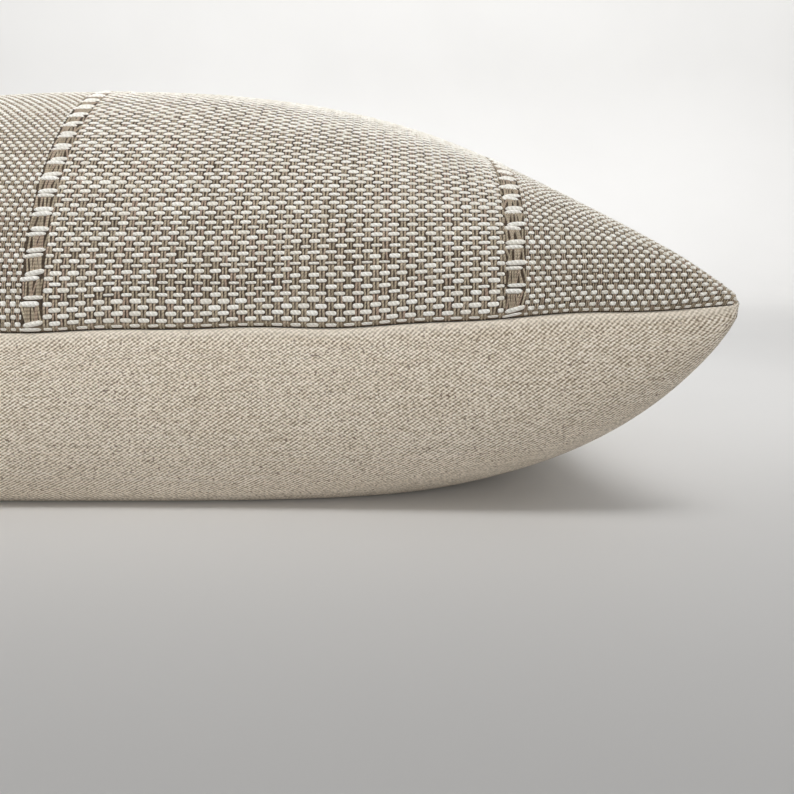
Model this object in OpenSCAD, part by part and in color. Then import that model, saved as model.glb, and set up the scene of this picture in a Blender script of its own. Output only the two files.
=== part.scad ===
// Filled lumbar throw pillow: a zipped two-panel cover round a loose-filled insert.
// Lengths are in millimetres. The origin is the centre of the face it rests on, +Z is up,
// X runs along the long side, and the zipped edge is the long edge at +Y.

/* [Filled cover] */
// Distance from the middle to a corner tip, along the long side
corner_x = 237; // [225:1:245]
// Distance from the middle to a corner tip, across the pillow
corner_y = 140; // [132:1:146]
// How far the middle of a long edge is pulled in from the corner line
long_pull = 33; // [24:1:36]
// How far the middle of a short edge is pulled in from the corner line
end_pull = 30; // [22:1:34]
// Height of the seam in the middle of each edge
seam_z = 68; // [60:1:74]
// How much higher the seam is at the corners
corner_lift = 12; // [6:1:16]
// Height of the crown above the seam
crown_h = 99; // [85:1:104]
// Depth that the underside would have if nothing flattened it
belly_d = 87; // [82:1:90]
// How squarely the upper half fills out along its length, 2 is an ellipse
upper_long_fill = 2.25; // [2.1:0.05:2.4]
// How squarely the upper half fills out across its middle
upper_mid_fill = 1.65; // [1.6:0.05:1.9]
// How squarely the upper half fills out across its ends
upper_end_fill = 2.55; // [2.3:0.05:2.7]
// How squarely the lower half fills out
lower_fill = 2.5; // [2.3:0.05:2.6]
// How far the upper wall swells out past its seam at the ends
upper_swell = 6; // [3:1:8]
// How far the lower wall swells out past its seam
lower_swell = 18; // [12:1:20]

/* [Cloth] */
// Thickness of the woven front cloth and the twill back cloth
cover_t = 0.8; // [0.6:0.1:0.9]
// Width of the seam allowance turned to the inside
allowance_w = 12; // [11:0.5:12.5]
// Thickness of the insert's casing
casing_t = 0.3; // [0.25:0.05:0.4]
// Gap between the seam of the cover and the seam of the insert
insert_in = 16; // [15:1:18]
// Thickness of the sewing threads
thread_d = 0.5; // [0.4:0.1:0.6]

/* [Zip] */
// Half of the zip's opening, as an angle round the edge's arc
zip_half = 14; // [12.5:0.25:14]
// Distance of the coil inside the seam line
coil_in = 4.4; // [4.2:0.1:4.6]
// Radius of each coil
coil_r = 0.6; // [0.5:0.05:0.65]
// Length of the slider
slider_l = 9; // [8:0.5:10]
// Length of the pull tab, from its pin to its tip
pull_l = 19; // [15:1:20]

/* [Hidden] */

columns = 34;
rows = 22;
casing_columns = 26;
casing_rows = 18;
sweep_fn = 720;

// Half the gap between the two panels' edges, along a sewn seam and along the zip
seam_gap = 0.1;
slit_gap = 0.9;
// The rounding where the underside leaves the table, and the gap between nested layers
floor_round = 3;
layer_gap = 0.5;

// Every edge is an arc of a circle in a plane that rises towards the corners
function arc_sag(pull) = norm([pull, corner_lift]);
function arc_radius(half_chord, pull) =
    (half_chord * half_chord + arc_sag(pull) * arc_sag(pull)) / (2 * arc_sag(pull));
function arc_tilt(pull) = atan2(corner_lift, pull);
long_r = arc_radius(corner_x, long_pull);
long_tilt = arc_tilt(long_pull);
long_mid = corner_y - long_pull;
end_r = arc_radius(corner_y, end_pull);
end_tilt = arc_tilt(end_pull);
end_mid = corner_x - end_pull;

// The corners are sharp, so a hem narrows over this many times its width towards a corner
mitre = 2.5;
// How much nearer the middle a corner's hem is, as a share for each millimetre of its width
tip_share = 0.0003;

// The zip's parts, measured across the seam's plane from its middle
tape_z = 2 * coil_r + 0.05;
tape_t = 0.4;
tape_out = coil_in + 8.6;
tape_angle = zip_half + 0.5;
fold_z = 3.3;
sew_z = tape_z + tape_t + 0.1;
step_in = coil_in + 3.6;
step_run = 1.5;
upper_root = 0;
lower_root = 1.2;
hem_in = 1.7;
wall_out = 2;
wall_t = 1;
wing_z = 2.2;
wing_t = 0.5;
wing_in = 7;
neck_t = 1;
neck_w = 5;
pin_out = 3.2;
pin_r = 0.5;
pin_clear = 0.05;
lug_r = 1.3;
lug_w = 2.4;
cheek_w = 0.8;
cheek_gap = 0.3;
tab_t = 1.2;
tab_w = 7;
stop_l = 2.5;
closed_angle = zip_half - 0.4;

// The labels
label_w = 30;
label_h = 24;
label_t = 0.3;
care_label_out = 2;
care_label_in = 6.5;
insert_label_out = 1.5;
tab_overlap = 0.1;

// a and b run from -1 to 1 between opposite edges. They give a point's share of the way
// from the middle to an edge, and its share of the height
function fill_out(t, power) = sign(t) * pow(abs(sin(90 * t)), power);
function rise(t, power) = pow(max(0, cos(90 * t)), power);
function along_power(side) = 2 / (side > 0 ? upper_long_fill : lower_fill);
function across_power(a, side) =
    2 / (side > 0 ? upper_mid_fill + (upper_end_fill - upper_mid_fill) * a * a : lower_fill);
function rounded_floor(z, low) =
    z >= low + floor_round ? z
    : z <= low - floor_round ? low
    : low + pow(z - low + floor_round, 2) / (4 * floor_round);

// How far out an edge has come at a place along it, on the arc that runs inset inside it
function arc_out(r, inset, at) = r - sqrt(pow(r + inset, 2) - at * at);
function half_x(y, inset) = end_mid + cos(end_tilt) * arc_out(end_r, inset, y);
function half_y(x, inset) = long_mid + cos(long_tilt) * arc_out(long_r, inset, x);

// The corner of the outline that runs inset inside the seam, found by stepping between edges
function corner(inset, steps = 12) =
    steps == 0 ? [corner_x, corner_y]
    : let(c = corner(inset, steps - 1)) [half_x(c.y, inset), half_y(c.x, inset)];

// A point in the seam's surface. c is the corner of the outline that runs inset inside it
function seam_point(a, b, side, inset, c) =
    let(
        sx = fill_out(a, along_power(side)),
        sy = fill_out(b, across_power(a, side)),
        middle = -inset * sin(long_tilt),
        along_long = sin(long_tilt) * arc_out(long_r, inset, c.x * sx) - middle,
        along_end = sin(end_tilt) * arc_out(end_r, inset, c.y * sy) - middle,
        at_long = sin(long_tilt) * arc_out(long_r, inset, c.x) - middle,
        at_end = sin(end_tilt) * arc_out(end_r, inset, c.y) - middle
    )
    [
        half_x(c.y * sy, inset) * sx,
        half_y(c.x * sx, inset) * sy,
        seam_z + middle + along_long * sy * sy + along_end * sx * sx
            - (at_long + at_end) / 2 * sx * sx * sy * sy
    ];

// A point of the pillow's skin. side is 1 above the seam and -1 below it, skin thins the
// height, and gap lifts it off the seam
function skin_point(a, b, side, inset, c, skin, gap) =
    let(
        height = (side > 0 ? crown_h : belly_d) - skin + side * inset * sin(long_tilt),
        swell = side > 0 ? [upper_swell, 0] : [lower_swell, lower_swell],
        rise_x = rise(a, along_power(side)),
        rise_y = rise(b, across_power(a, side)),
        p = seam_point(a, b, side, inset, c)
            + [swell.x * sin(180 * a) * rise_y, swell.y * sin(180 * b) * rise_x, 0],
        z = p.z + side * (gap + height * rise_x * rise_y)
    )
    [p.x, p.y, side > 0 ? z : rounded_floor(z, skin)];

function skin_grid(nx, ny, side, inset, skin, gap) =
    let(c = corner(inset))
    [
        for (j = [0 : ny], i = [0 : nx])
            skin_point(2 * i / nx - 1, 2 * j / ny - 1, side, inset, c, skin, gap)
    ];

// A point beside an edge: along it, out from the pillow's middle, and up. in is how far it
// is inside the seam, along the seam's plane, and up is how far it is above that plane
function beside_arc(r, tilt, mid, at, in, up) =
    let(angle = asin(at / r), out = r - (r + in) * cos(angle))
    [
        (r + in) * sin(angle),
        mid + out * cos(tilt) - up * sin(tilt),
        seam_z + out * sin(tilt) + up * cos(tilt)
    ];
function mitred(in, to_corner) = in * min(1, to_corner / (mitre * allowance_w));

// A point of a turned-in edge
function hem_point(a, b, side, in, up) =
    let(
        x = corner_x * fill_out(a, along_power(side)),
        y = corner_y * fill_out(b, across_power(a, side)),
        at_long = beside_arc(long_r, long_tilt, long_mid, x, mitred(in, corner_x - abs(x)), up),
        at_end = beside_arc(end_r, end_tilt, end_mid, y, mitred(in, corner_y - abs(y)), up),
        tip = 1 - tip_share * in
    )
    abs(a) == 1 && abs(b) == 1 ? [x * tip, y * tip, seam_z + corner_lift + up]
    : abs(b) == 1 ? [at_long.x, sign(b) * at_long.y, at_long.z]
    : [sign(a) * at_end.y, at_end.x, at_end.z];

// The edge of a grid as a closed loop, as pairs of columns and rows
function edge_loop(nx, ny) = concat(
    [for (i = [0 : nx - 1]) [i, 0]],
    [for (j = [0 : ny - 1]) [nx, j]],
    [for (i = [nx : -1 : 1]) [i, ny]],
    [for (j = [ny : -1 : 1]) [0, j]]
);

// A closed solid between an upper and a lower grid of points. hems are further loops of
// points that lead from the upper grid's edge to the lower one's
module between(upper, lower, nx, ny, hems = []) {
    w = nx + 1;
    n = w * (ny + 1);
    rim = edge_loop(nx, ny);
    size = len(rim);
    top = [for (p = rim) p.y * w + p.x];
    bottom = [for (k = top) n + k];
    middle = [for (h = [0 : 1 : len(hems) - 1]) [for (k = [0 : size - 1]) 2 * n + h * size + k]];
    loops = concat([top], middle, [bottom]);
    polyhedron(
        points = concat(upper, lower, [for (hem = hems, p = hem) p]),
        faces = concat(
            [for (j = [0 : ny - 1], i = [0 : nx - 1]) let(k = j * w + i) [k, k + w + 1, k + 1]],
            [for (j = [0 : ny - 1], i = [0 : nx - 1]) let(k = j * w + i) [k, k + w, k + w + 1]],
            [for (j = [0 : ny - 1], i = [0 : nx - 1]) let(k = n + j * w + i) [k, k + 1, k + w + 1]],
            [for (j = [0 : ny - 1], i = [0 : nx - 1]) let(k = n + j * w + i) [k, k + w + 1, k + w]],
            [for (h = [0 : len(loops) - 2], k = [0 : size - 1])
                let(p = loops[h], q = loops[h + 1], m = (k + 1) % size) [p[k], p[m], q[m]]],
            [for (h = [0 : len(loops) - 2], k = [0 : size - 1])
                let(p = loops[h], q = loops[h + 1], m = (k + 1) % size) [p[k], q[m], q[k]]]
        ),
        convexity = 6
    );
}

// Half of the insert's casing, as a plain shell
module casing_half(side) {
    skin = cover_t + layer_gap;
    outer = skin_grid(casing_columns, casing_rows, side, insert_in, skin, label_t);
    inner = skin_grid(casing_columns, casing_rows, side, insert_in + casing_t, skin + casing_t,
                      label_t);
    if (side > 0) between(outer, inner, casing_columns, casing_rows);
    if (side < 0) between(inner, outer, casing_columns, casing_rows);
}

// Sweeps a flat profile along the long edge at +Y. The profile's x is the distance inside
// the seam line and its y is the distance above the seam's plane
module along_long_edge(half_angle) {
    long_edge_frame() swept(long_r, half_angle) children();
}

module swept(r, half_angle) {
    rotate([0, 0, -90 - half_angle])
        rotate_extrude(angle = 2 * half_angle, $fn = sweep_fn)
            translate([r, 0])
                children();
}

module long_edge_frame() {
    translate([0, long_mid + long_r * cos(long_tilt), seam_z + long_r * sin(long_tilt)])
        rotate([long_tilt, 0, 0])
            children();
}

module end_edge_frame() {
    translate([end_mid + end_r * cos(end_tilt), 0, seam_z + end_r * sin(end_tilt)])
        rotate([0, 0, -90])
            rotate([end_tilt, 0, 0])
                children();
}

// How far round its arc an edge can be followed by something that reaches that far inside it
function reach_angle(r, half_chord, depth) = asin((half_chord - mitre * depth) / r);

// Sweeps a profile along the three edges that are sewn shut
module along_sewn_edges(depth) {
    mirror([0, 1, 0]) along_long_edge(reach_angle(long_r, corner_x, depth)) children();
    for (side = [0, 1])
        mirror([side, 0, 0])
            end_edge_frame()
                swept(end_r, reach_angle(end_r, corner_y, depth))
                    children();
}

// Moves a part made at the middle of the zipped edge to an angle round that edge
module on_zip(angle) {
    long_edge_frame()
        rotate([0, 0, angle])
            translate([0, -long_r, 0])
                children();
}

// How a panel's edge is turned in, as pairs: how far in from the seam, and how far off its
// plane. The first pair is the fold, then come the face towards the other panel, the raw
// edge, and the face towards the insert
sewn_hem = [
    [0, seam_gap],
    [0.2 * allowance_w, seam_gap],
    [0.4 * allowance_w, seam_gap],
    [0.6 * allowance_w, seam_gap],
    [0.8 * allowance_w, seam_gap],
    [allowance_w, seam_gap],
    [allowance_w, seam_gap + cover_t],
    [0.7 * allowance_w, seam_gap + cover_t],
    [0.3 * allowance_w, seam_gap + cover_t],
    [cover_t, seam_gap + cover_t]
];
// Beside the zip the hem is folded double, steps over the slider's path and meets the tape
function zip_hem(side) = [
    [0, slit_gap],
    [hem_in, slit_gap],
    [hem_in, fold_z],
    [step_in, fold_z],
    [step_in + step_run, sew_z],
    [tape_out, sew_z],
    [tape_out, sew_z + cover_t],
    [step_in + step_run + cover_t / 2, sew_z + cover_t],
    [step_in + cover_t / 2, fold_z + cover_t],
    [side > 0 ? upper_root : lower_root, fold_z + cover_t]
];
// The zip's hem runs to the first grid point past the end of the tapes
function beside_zip(p, side) =
    let(before = abs(2 * p.x / columns - 1) - 2 / columns)
    p.y == rows && corner_x * fill_out(before, along_power(side)) < long_r * sin(tape_angle);
function hem_loop(side, k) = [
    for (p = edge_loop(columns, rows))
        let(at = beside_zip(p, side) ? zip_hem(side)[k] : sewn_hem[k])
        hem_point(2 * p.x / columns - 1, 2 * p.y / rows - 1, side, at.x, side * at.y)
];

// One panel of the cover: a filled-out skin whose edges are all turned in
module cover_panel(side) {
    last = len(sewn_hem) - 1;
    hems = [for (k = [0 : last]) hem_loop(side, k)];
    outer = skin_grid(columns, rows, side, 0, 0, 0);
    inner = skin_grid(columns, rows, side, cover_t, cover_t, 0);
    outer_edged = edged(outer, hems[0]);
    inner_edged = edged(inner, hems[last]);
    middle = [for (k = [1 : last - 1]) hems[k]];
    if (side > 0) between(outer_edged, inner_edged, columns, rows, middle);
    if (side < 0)
        between(inner_edged, outer_edged, columns, rows,
                [for (k = [len(middle) - 1 : -1 : 0]) middle[k]]);
}

// A grid whose edge points are replaced with a loop of them
function edged(grid, loop) =
    let(
        w = columns + 1,
        rim = edge_loop(columns, rows),
        keys = [for (p = rim) p.y * w + p.x]
    )
    [
        for (k = [0 : len(grid) - 1])
            let(found = search(k, keys))
            len(found) > 0 ? loop[found[0]] : grid[k]
    ];

module front_panel() {
    color("tan") cover_panel(1);
}

module back_panel() {
    color("wheat") cover_panel(-1);
}

// The lockstitch lies on both faces of the two allowances, just inside the seam
module seam_thread() {
    stitch_in = 2;
    stitch_z = seam_gap + cover_t + thread_d / 2 + 0.05;
    color("ivory")
        along_sewn_edges(stitch_in + 2 * thread_d)
            for (z = [-stitch_z, stitch_z])
                translate([stitch_in, z]) circle(d = thread_d, $fn = 24);
}

// The overlock wraps the raw edges of the allowances
module overlock_thread() {
    wrap_w = 5;
    wrap_t = 0.4;
    clear = 0.05;
    half_z = seam_gap + cover_t + clear;
    color("ivory")
        along_sewn_edges(allowance_w + 2 * wrap_t)
            translate([allowance_w + clear, 0])
                difference() {
                    translate([-wrap_w, -half_z - wrap_t])
                        square([wrap_w + wrap_t, 2 * (half_z + wrap_t)]);
                    translate([-wrap_w - wrap_t, -half_z])
                        square([wrap_w + wrap_t, 2 * half_z]);
                }
}

// The rows of stitches that hold the zip's tapes to the allowances
module zip_stitching() {
    row_in = step_in + 3.5;
    row_z = sew_z + cover_t + thread_d / 2 + 0.05;
    color("ivory")
        along_long_edge(zip_half)
            for (z = [-row_z, row_z])
                translate([row_in, z]) circle(d = thread_d, $fn = 24);
}

module zip_tape(side) {
    low = side > 0 ? tape_z : -tape_z - tape_t;
    color("linen")
        along_long_edge(tape_angle)
            translate([coil_in - coil_r, low])
                square([tape_out - coil_in + coil_r, tape_t]);
}

module zip_coil(side) {
    color("beige")
        along_long_edge(zip_half)
            translate([coil_in, side * (coil_r + 0.02)])
                circle(r = coil_r, $fn = 32);
}

// The slider is a channel round both coils, with a neck that comes out through the slit
module zip_slider() {
    color("silver")
        on_zip(closed_angle)
            difference() {
                union() {
                    translate([-slider_l / 2, -wall_out - wall_t, -wing_z - wing_t])
                        cube([slider_l, wall_t, 2 * (wing_z + wing_t)]);
                    for (side = [0, 1])
                        mirror([0, 0, side])
                            translate([-slider_l / 2, -wing_in, wing_z])
                                cube([slider_l, wing_in - wall_out, wing_t]);
                    translate([-neck_w / 2, -wall_out - wall_t / 2, -neck_t / 2])
                        cube([neck_w, wall_out + wall_t / 2 + 1, neck_t]);
                    translate([-lug_w / 2, 0.8, -neck_t / 2])
                        cube([lug_w, pin_out - 0.8, neck_t]);
                    translate([0, pin_out, 0])
                        rotate([0, 90, 0])
                            cylinder(r = lug_r, h = lug_w, center = true, $fn = 48);
                }
                translate([0, pin_out, 0])
                    rotate([0, 90, 0])
                        cylinder(r = pin_r + pin_clear, h = 2 * lug_w, center = true, $fn = 48);
            }
}

// The pull tab hangs from a pin through the slider's lug, on two cheeks
module zip_pull() {
    cheek_x = lug_w / 2 + cheek_gap;
    span = 2 * (cheek_x + cheek_w);
    bar_z = lug_r + 1.2;
    bar_h = 1.6;
    shoulder_z = bar_z + bar_h;
    color("silver")
        on_zip(closed_angle)
            translate([0, pin_out, 0]) {
                rotate([0, 90, 0]) cylinder(r = pin_r, h = span, center = true, $fn = 48);
                for (side = [-1, 1])
                    translate([side * (cheek_x + cheek_w / 2), 0, 0]) {
                        rotate([0, 90, 0])
                            cylinder(d = tab_t + 0.6, h = cheek_w, center = true, $fn = 48);
                        translate([-cheek_w / 2, -tab_t / 2, -shoulder_z])
                            cube([cheek_w, tab_t, shoulder_z]);
                    }
                translate([-span / 2, -tab_t / 2, -shoulder_z])
                    cube([span, tab_t, bar_h]);
                pull_tab(span, shoulder_z);
            }
}

// A drop-shaped plate with a slot, as an extruded outline
module pull_tab(top_w, top_z) {
    tip_z = pull_l - tab_w / 2;
    translate([0, tab_t / 2, 0])
        rotate([90, 0, 0])
            linear_extrude(tab_t)
                difference() {
                    union() {
                        polygon([
                            [-top_w / 2, -top_z + 0.2],
                            [top_w / 2, -top_z + 0.2],
                            [tab_w / 2, -tip_z],
                            [-tab_w / 2, -tip_z]
                        ]);
                        translate([0, -tip_z]) circle(d = tab_w, $fn = 64);
                    }
                    translate([0, -tip_z]) circle(d = tab_w / 2, $fn = 48);
                }
}

// A stop sits between the tapes just past the end of the coils
module zip_stop(side) {
    reach = 3;
    half_z = tape_z - 0.05;
    color("silver")
        on_zip(side * zip_half)
            translate([side > 0 ? 0.3 : -stop_l - 0.3, -coil_in - reach / 2, -half_z])
                cube([stop_l, reach, 2 * half_z]);
}

module insert_casing(side) {
    color("white")
        casing_half(side);
}

// The insert's seam is closed with a thread that runs round its two long sides
module insert_seam_thread() {
    color("ivory")
        for (side = [0, 1])
            mirror([0, side, 0])
                along_long_edge(reach_angle(long_r, corner_x, insert_in))
                    translate([insert_in - thread_d, 0]) circle(d = thread_d, $fn = 24);
}

module fill() {
    fill_rim = 0.2;
    inset = insert_in + casing_t + 2 * layer_gap;
    skin = cover_t + layer_gap + casing_t + fill_rim;
    color("snow")
        between(
            skin_grid(casing_columns, casing_rows, 1, inset, skin, fill_rim),
            skin_grid(casing_columns, casing_rows, -1, inset, skin, fill_rim),
            casing_columns, casing_rows
        );
}

// A blank label at the middle of the short edge at +X. Its tab lies in the seam's plane from
// root to fold, measured outwards from the seam, and its face hangs or stands from the fold
module label(root, fold, low, side) {
    end_edge_frame()
        translate([-label_w / 2, -end_r, low]) {
            translate([0, min(root, fold), 0])
                cube([label_w, abs(fold - root), label_t]);
            translate([0, fold, label_t / 2])
                rotate([-end_tilt, 0, 0])
                    translate([0, side > 0 ? -label_t : 0, side > 0 ? 0 : -label_h])
                        cube([label_w, label_t, label_h]);
        }
}

// The care label hangs under the allowance at the -X end of the cover
module care_label() {
    clear_z = seam_gap + cover_t + thread_d + 0.1;
    color("white")
        mirror([1, 0, 0])
            label(-care_label_out, -care_label_in, -clear_z - label_t, -1);
}

// The insert's label stands up from its seam at the +X end
module insert_label() {
    color("white")
        label(-insert_in - tab_overlap, -insert_in + insert_label_out, -label_t / 2, 1);
}

front_panel();
back_panel();
seam_thread();
overlock_thread();
zip_stitching();
zip_tape(1);  // zip_tape_upper
zip_tape(-1);  // zip_tape_lower
zip_coil(1);  // zip_coil_upper
zip_coil(-1);  // zip_coil_lower
zip_slider();
zip_pull();
zip_stop(1);  // zip_closed_stop
zip_stop(-1);  // zip_open_stop
insert_casing(1);  // insert_front_casing
insert_casing(-1);  // insert_back_casing
insert_seam_thread();
fill();
care_label();
insert_label();
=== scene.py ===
"""A filled lumbar pillow on a pale table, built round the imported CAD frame.

Metres, +Z up. X runs along the long side, the near long edge is at -Y and the zip at +Y.
"""
import math

import bpy
import numpy as np
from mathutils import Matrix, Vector


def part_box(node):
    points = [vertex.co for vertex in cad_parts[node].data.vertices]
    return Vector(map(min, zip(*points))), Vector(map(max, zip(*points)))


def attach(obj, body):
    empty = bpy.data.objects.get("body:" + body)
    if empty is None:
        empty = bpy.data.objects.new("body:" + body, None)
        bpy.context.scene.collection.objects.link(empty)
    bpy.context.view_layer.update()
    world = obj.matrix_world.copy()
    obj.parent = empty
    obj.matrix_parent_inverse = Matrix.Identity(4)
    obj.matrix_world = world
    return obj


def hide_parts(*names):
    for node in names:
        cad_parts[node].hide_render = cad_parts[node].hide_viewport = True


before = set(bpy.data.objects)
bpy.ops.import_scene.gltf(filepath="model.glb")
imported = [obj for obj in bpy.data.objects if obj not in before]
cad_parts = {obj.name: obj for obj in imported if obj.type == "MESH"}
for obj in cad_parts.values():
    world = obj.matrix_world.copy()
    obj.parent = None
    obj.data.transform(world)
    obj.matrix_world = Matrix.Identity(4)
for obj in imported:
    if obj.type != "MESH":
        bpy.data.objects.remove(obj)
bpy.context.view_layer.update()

MM = 0.001

# ---------------------------------------------------------------- driving dimensions

_, front_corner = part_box("front_panel")
CORNER_X = front_corner.x
CORNER_Y = front_corner.y
CROWN_Z = front_corner.z

# The filled shape: how far each edge is pulled in, and the seam's height and lift
LONG_PULL = 33 * MM
END_PULL = 30 * MM
SEAM_Z = 68 * MM
CORNER_LIFT = 12 * MM

# How deep the lower half would hang, and how softly it flattens where it meets the table
BELLY_D = 87 * MM
FLOOR_ROUND = 3 * MM

# How far each half swells out past a plain dome, along and across
UPPER_SWELL = (6 * MM, 0)
LOWER_SWELL = (18 * MM, 18 * MM)

# How squarely each half fills out: along its length, across its middle, across its ends
UPPER_FILL = (2.25, 1.65, 2.55)
LOWER_FILL = (2.5, 2.5, 2.5)


def edge_arc(half_chord, pull):
    """The radius and the tilt of the arc that an edge follows."""
    depth = math.hypot(pull, CORNER_LIFT)
    return (half_chord**2 + depth**2) / (2 * depth), math.atan2(CORNER_LIFT, pull)


LONG_MID = CORNER_Y - LONG_PULL
END_MID = CORNER_X - END_PULL
LONG_R, LONG_TILT = edge_arc(CORNER_X, LONG_PULL)
END_R, END_TILT = edge_arc(CORNER_Y, END_PULL)

# The cloth before it was sewn
CUT_L = 508 * MM
CUT_W = 305 * MM
ALLOWANCE = 12 * MM
CLOTH_T = 0.8 * MM

# How far cloth gives along a thread: the weave shortens this much, and either cloth lengthens
WEAVE_SHORTENS = 0.8
CLOTH_LENGTHENS = 1.25

# The grid that each panel is worked out on, with finer steps while its threads are found
GRID_X = 100
GRID_Y = 60
FINE_STEPS = 3
THREAD_PASSES = 10
SMOOTH_PASSES = 12

# The settling of the cloth: its spare length, its steps, the furthest a point may move, and how
# near the table a point has to be to rest on it
CLOTH_SPARE = 1.008
SETTLE_FRAMES = 20
MAX_SETTLE = 4 * MM
NEAR_TABLE = 0.5 * MM
CLOTH_SETTINGS = {
    "quality": 8,
    "mass": 0.15,
    "tension_stiffness": 40,
    "compression_stiffness": 40,
    "shear_stiffness": 8,
    "bending_stiffness": 1.5,
    "tension_damping": 10,
    "compression_damping": 10,
    "shear_damping": 10,
    "air_damping": 5,
    "use_pressure": True,
    "uniform_pressure_force": 4,
}

# The seam: how deep the cloth dips, over what reach, and the gap between the two cloths
SEAM_DIP = 1.1 * MM
SEAM_ROLL = 2.6 * MM
SEAM_GAP = 0.12 * MM

# The corners: how much of each is folded, and how blunt its tip is
CORNER_FOLD = 14 * MM
BLUNT_TIP = 1 * MM

# How far the sewn seam wanders up and down, over what lengths, and how far in that shows
SEAM_SWAY = 0.5 * MM
SWAY = (21 * MM, 9 * MM)
SWAY_REACH = 30 * MM

# The zip's slit: how wide it stands, half its length, and the length over which it closes
SLIT_GAP = 0.9 * MM
ZIP_REACH = 205 * MM
SLIT_END = 9 * MM

# The zip's coils: half the arc they cover, how far inside the seam they lie, and their wire
ZIP_HALF_ANGLE = math.radians(14)
COIL_IN = 4.4 * MM
COIL_R = 0.6 * MM
COIL_PITCH = 1.2 * MM
COIL_GAP = 0.02 * MM
WIRE_R = 0.2 * MM
TURN_POINTS = 12
WIRE_SIDES = 6

# The front weave, worked out from the wide band's repeat
REPEAT = 6.45 * MM
ROW = 0.318 * REPEAT
ROWS = int(CUT_W / ROW)
ROW_START = -CUT_W / 2 + 0.55 * ROW
PLAIN_REPEAT = 0.56 * REPEAT
LADDER_W = 1.1 * REPEAT
WIDE_W = 25.8 * REPEAT
LADDER_X = -2 * MM

# Shares of a repeat that its float and its warps take up
WIDE_SHARE = 0.73
PLAIN_SHARE = 0.7
WARP_SHARE = 0.38

# How far yarn beds into the cloth under it
YARN_BED = 0.12 * MM

# How far into its band each pattern starts, as a share of its repeat
PATTERN_SHIFT = 0.18

# How unevenly the weave is made: the scatter of a float's length and of where yarn lies
LENGTH_SCATTER = 0.05
PLACE_SCATTER = 0.03

# The threads in each warp of a band, and the splayed ones in each block of a ladder stripe
WARP_THREADS = 2
LADDER_THREADS = 9

# The twill's repeat, along and across the pillow
TWILL_X = 1.95 * MM
TWILL_Y = 1.12 * MM

# The insert: how far its seam and its faces are inside the cover's, and its unevenness
INSERT_IN = 16 * MM
FILL_IN = INSERT_IN + 1 * MM
CASING_DEEP = 2.5 * MM
FILL_DEEP = 4.0 * MM
LUMP_WAVES = 9
PUCKER = 1.6 * MM
NESTED_X = 121
NESTED_Y = 81

# ---------------------------------------------------------------- camera

CAMERA_AT = Vector((0.1285, -0.391, 0.099))
CAMERA_PITCH = math.radians(11)
LENS_MM = 36.1
SENSOR_MM = 36
NEAREST = 10 * MM
camera_data = bpy.data.cameras.new("camera")
camera_data.lens = LENS_MM
camera_data.sensor_width = SENSOR_MM
camera_data.clip_start = NEAREST
camera = bpy.data.objects.new("camera", camera_data)
camera.location = CAMERA_AT
camera.rotation_euler = (math.pi / 2 - CAMERA_PITCH, 0, 0)
bpy.context.scene.collection.objects.link(camera)
bpy.context.scene.camera = camera

# ---------------------------------------------------------------- small helpers


def new_mesh(name, points, faces):
    """A smooth mesh object from points, and faces that all have the same number of corners."""
    points = np.asarray(points, np.float32).reshape(-1, 3)
    faces = np.asarray(faces, np.int32)
    corners = faces.shape[1]
    mesh = bpy.data.meshes.new(name)
    mesh.vertices.add(len(points))
    mesh.vertices.foreach_set("co", points.ravel())
    mesh.loops.add(faces.size)
    mesh.loops.foreach_set("vertex_index", faces.ravel())
    mesh.polygons.add(len(faces))
    mesh.polygons.foreach_set("loop_start", np.arange(len(faces), dtype=np.int32) * corners)
    mesh.polygons.foreach_set("loop_total", np.full(len(faces), corners, np.int32))
    mesh.polygons.foreach_set("use_smooth", np.ones(len(faces), bool))
    mesh.update(calc_edges=True)
    mesh.validate()
    obj = bpy.data.objects.new(name, mesh)
    bpy.context.scene.collection.objects.link(obj)
    return obj


def set_vectors(obj, name, values):
    """Stores one vector per vertex, for a material to read."""
    attribute = obj.data.attributes.new(name, "FLOAT_VECTOR", "POINT")
    attribute.data.foreach_set("vector", np.asarray(values, np.float32).ravel())


def grid_faces(rows, columns):
    """Quads of a grid of points with that many rows and columns of points."""
    j, i = np.meshgrid(np.arange(rows - 1), np.arange(columns - 1), indexing="ij")
    k = (j * columns + i).ravel()
    return np.stack([k, k + 1, k + columns + 1, k + columns], 1)


def smoothstep(low, high, x):
    """0 at low and 1 at high, with a soft start and end. low may be the larger."""
    t = np.clip((x - low) / (high - low), 0, 1)
    return t * t * (3 - 2 * t)


# ---------------------------------------------------------------- the filled shape


def fill_out(t, power):
    """How far out a point is, as a share of the half width, for t from -1 to 1."""
    return np.sign(t) * np.abs(np.sin(t * np.pi / 2)) ** power


def rise(t, power):
    """How high a point is, as a share of the full height, for t from -1 to 1."""
    return np.maximum(0, np.cos(t * np.pi / 2)) ** power


def sag(radius, at):
    """How far an arc has left its tangent at a distance along it."""
    return radius - np.sqrt(radius**2 - at**2)


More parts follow.
